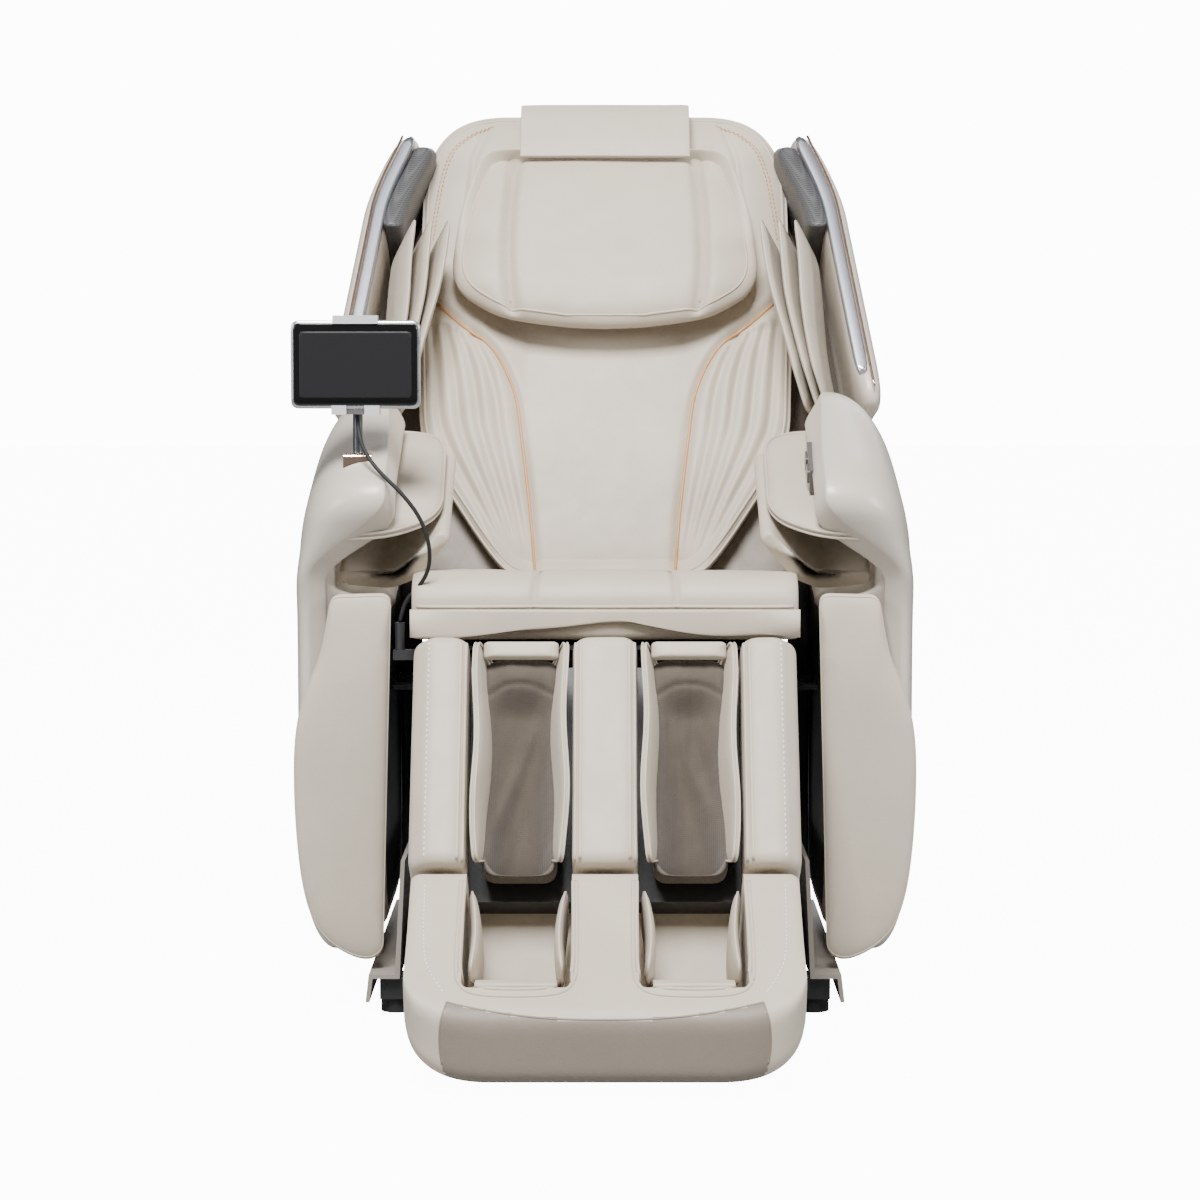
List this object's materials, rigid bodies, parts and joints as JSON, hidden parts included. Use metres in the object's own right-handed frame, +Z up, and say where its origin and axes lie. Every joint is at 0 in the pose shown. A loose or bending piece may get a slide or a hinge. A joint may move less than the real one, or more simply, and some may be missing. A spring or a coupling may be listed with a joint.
{
  "type": "massage chair",
  "caption": "Reclining full-body massage chair with calf and foot wells, forearm air pads, side wings, head pillow and a tablet on a swivelling post.",
  "frame": {"origin": "on the floor, at the middle of the overall width and depth", "axes": "+Z up; the chair faces -Y; +X is to the right of someone looking at its front"},
  "size_m": [0.76, 1.3189, 1.1593],
  "materials": {
    "seat_leather": "soft grained",
    "foot_leather": "soft grained",
    "well_fabric": "matt woven",
    "arm_shell_paint": "satin paint",
    "front_panel": "smooth",
    "plinth_plastic": "fine texture",
    "frame_paint": "powder coat",
    "mechanism_steel": "brushed",
    "motor_plastic": "fine texture",
    "roller_plastic": "smooth",
    "wheel_rubber": "matt",
    "foot_rubber": "matt",
    "speaker_plastic": "perforated",
    "rose_gold": "polished",
    "post_metal": "satin",
    "clamp_plastic": "satin",
    "tablet_shell": "satin",
    "tablet_glass": "glossy",
    "cable_black": "satin",
    "key_plastic": "satin"
  },
  "bodies": {
    "base": {"base_frame": "frame_paint", "foot_pads": "foot_rubber", "base_plinths": "plinth_plastic", "control_box": "motor_plastic", "air_pump": "motor_plastic", "power_inlet": "motor_plastic"},
    "wheels": {"transport_wheels": "wheel_rubber"},
    "switch": {"power_switch": "motor_plastic"},
    "slide": {"slide_frame": "frame_paint"},
    "seat": {"seat_frame": "frame_paint", "seat_cushion": "seat_leather", "seat_apron": "seat_leather", "arm_shell_left": "arm_shell_paint", "arm_shell_right": "arm_shell_paint", "arm_front_panel_left": "front_panel", "arm_front_panel_right": "front_panel", "arm_cap_left": "arm_shell_paint", "arm_cap_right": "arm_shell_paint", "arm_pad_upper_left": "seat_leather", "arm_pad_upper_right": "seat_leather", "arm_pad_lower_left": "seat_leather", "arm_pad_lower_right": "seat_leather", "key_panel": "key_plastic", "post_foot": "rose_gold", "cable_gland": "motor_plastic", "tablet_cable": "cable_black"},
    "power_key": {"key_power": "key_plastic"},
    "program_key": {"key_program": "key_plastic"},
    "back": {"back_frame": "frame_paint", "back_shell": "arm_shell_paint", "back_cushion": "seat_leather", "pillow_strap": "seat_leather", "wing_left": "arm_shell_paint", "wing_right": "arm_shell_paint", "wing_trims": "rose_gold", "speaker_panels": "speaker_plastic", "shoulder_pads_left": "seat_leather", "shoulder_pads_right": "seat_leather"},
    "head_pillow": {"pillow": "seat_leather"},
    "carriage": {"massage_carriage": "mechanism_steel"},
    "rollers": {"kneading_rollers": "roller_plastic"},
    "back_tube": {"back_actuator": "motor_plastic"},
    "back_rod": {"back_actuator_rod": "mechanism_steel"},
    "leg_tube": {"leg_actuator": "motor_plastic"},
    "leg_rod": {"leg_actuator_rod": "mechanism_steel"},
    "leg": {"calf_tray": "frame_paint", "calf_side_ribs": "seat_leather", "calf_centre_rib": "seat_leather", "calf_flaps": "seat_leather", "calf_liners": "well_fabric"},
    "foot": {"foot_shell": "foot_leather", "foot_flaps": "seat_leather", "foot_soles": "well_fabric", "foot_slide_bars": "frame_paint"},
    "sole_rollers": {"foot_rollers": "roller_plastic"},
    "post": {"tablet_post": "post_metal"},
    "tablet": {"tablet_clamp": "clamp_plastic", "tablet_case": "tablet_shell", "tablet_screen": "tablet_glass"},
    "jaw": {"clamp_jaw": "clamp_plastic"}
  },
  "joints": [
    {"name": "wheels_roll", "type": "hinge", "parent": "base", "child": "wheels", "pos_m": [0, 0.3, 0.035], "axis": [1, 0, 0], "continuous": true},
    {"name": "switch_rock", "type": "hinge", "parent": "base", "child": "switch", "pos_m": [0.124, 0.33, 0.065], "axis": [1, 0, 0], "range_deg": [-7, 7]},
    {"name": "seat_slide", "type": "slide", "parent": "base", "child": "slide", "axis": [0, -1, 0], "range_m": [0, 0.125]},
    {"name": "seat_tilt", "type": "hinge", "parent": "slide", "child": "seat", "pos_m": [0, 0.06, 0.2], "axis": [-1, 0, 0], "range_deg": [0, 12]},
    {"name": "power_press", "type": "slide", "parent": "seat", "child": "power_key", "axis": [1, 0, 0], "range_m": [0, 0.003], "stiffness_N_per_m": 300, "springref_m": -0.002},
    {"name": "program_press", "type": "slide", "parent": "seat", "child": "program_key", "axis": [1, 0, 0], "range_m": [0, 0.003], "stiffness_N_per_m": 300, "springref_m": -0.002},
    {"name": "back_recline", "type": "hinge", "parent": "seat", "child": "back", "pos_m": [0, 0.165, 0.43], "axis": [-1, 0, 0], "range_deg": [0, 45]},
    {"name": "pillow_lift", "type": "hinge", "parent": "back", "child": "head_pillow", "pos_m": [0, 0.43367, 1.15469], "axis": [-1, 0, 0], "range_deg": [0, 100]},
    {"name": "carriage_travel", "type": "slide", "parent": "back", "child": "carriage", "axis": [0, 0.4695, 0.8829], "range_m": [0, 0.5]},
    {"name": "kneading_turn", "type": "hinge", "parent": "carriage", "child": "rollers", "pos_m": [0, 0.24255, 0.50769], "axis": [1, 0, 0], "continuous": true},
    {"name": "back_push_pivot", "type": "hinge", "parent": "seat", "child": "back_tube", "pos_m": [0.018, 0.118, 0.206], "axis": [-1, 0, 0], "range_deg": [0, 5]},
    {"name": "back_push_stroke", "type": "slide", "parent": "back_tube", "child": "back_rod", "axis": [0, 0.5807, 0.8141], "range_m": [-0.08, 0]},
    {"name": "leg_raise", "type": "hinge", "parent": "seat", "child": "leg", "pos_m": [0, -0.24, 0.445], "axis": [-1, 0, 0], "range_deg": [0, 65]},
    {"name": "leg_push_pivot", "type": "hinge", "parent": "seat", "child": "leg_tube", "pos_m": [0.044, -0.0175, 0.2455], "axis": [-1, 0, 0], "range_deg": [-4, 0]},
    {"name": "leg_push_stroke", "type": "slide", "parent": "leg_tube", "child": "leg_rod", "axis": [0, -0.9143, 0.4051], "range_m": [0, 0.115]},
    {"name": "foot_extend", "type": "slide", "parent": "leg", "child": "foot", "axis": [0, -0.5, -0.866], "range_m": [0, 0.1]},
    {"name": "foot_roller_turn", "type": "hinge", "parent": "foot", "child": "sole_rollers", "pos_m": [0, -0.50168, 0.06376], "axis": [1, 0, 0], "continuous": true},
    {"name": "post_swivel", "type": "hinge", "parent": "seat", "child": "post", "pos_m": [-0.3, -0.192, 0.69], "axis": [0, 0, 1], "range_deg": [-60, 60], "deforming": ["tablet_cable"]},
    {"name": "tablet_tilt", "type": "hinge", "parent": "post", "child": "tablet", "pos_m": [-0.3, -0.192, 0.766], "axis": [1, 0, 0], "range_deg": [-25, 0], "deforming": ["tablet_cable"]},
    {"name": "jaw_lift", "type": "slide", "parent": "tablet", "child": "jaw", "axis": [0, 0, 1], "range_m": [0, 0.012], "stiffness_N_per_m": 600, "springref_m": -0.008}
  ],
  "couplings": [
    {"joint": "seat_slide", "follows": "back_recline", "m_per_rad": 0.1528},
    {"joint": "back_push_pivot", "follows": "back_recline", "ratio": 0.0721},
    {"joint": "back_push_stroke", "follows": "back_recline", "m_per_rad": -0.09833},
    {"joint": "leg_push_pivot", "follows": "leg_raise", "ratio": -0.04},
    {"joint": "leg_push_stroke", "follows": "leg_raise", "m_per_rad": 0.096}
  ]
}
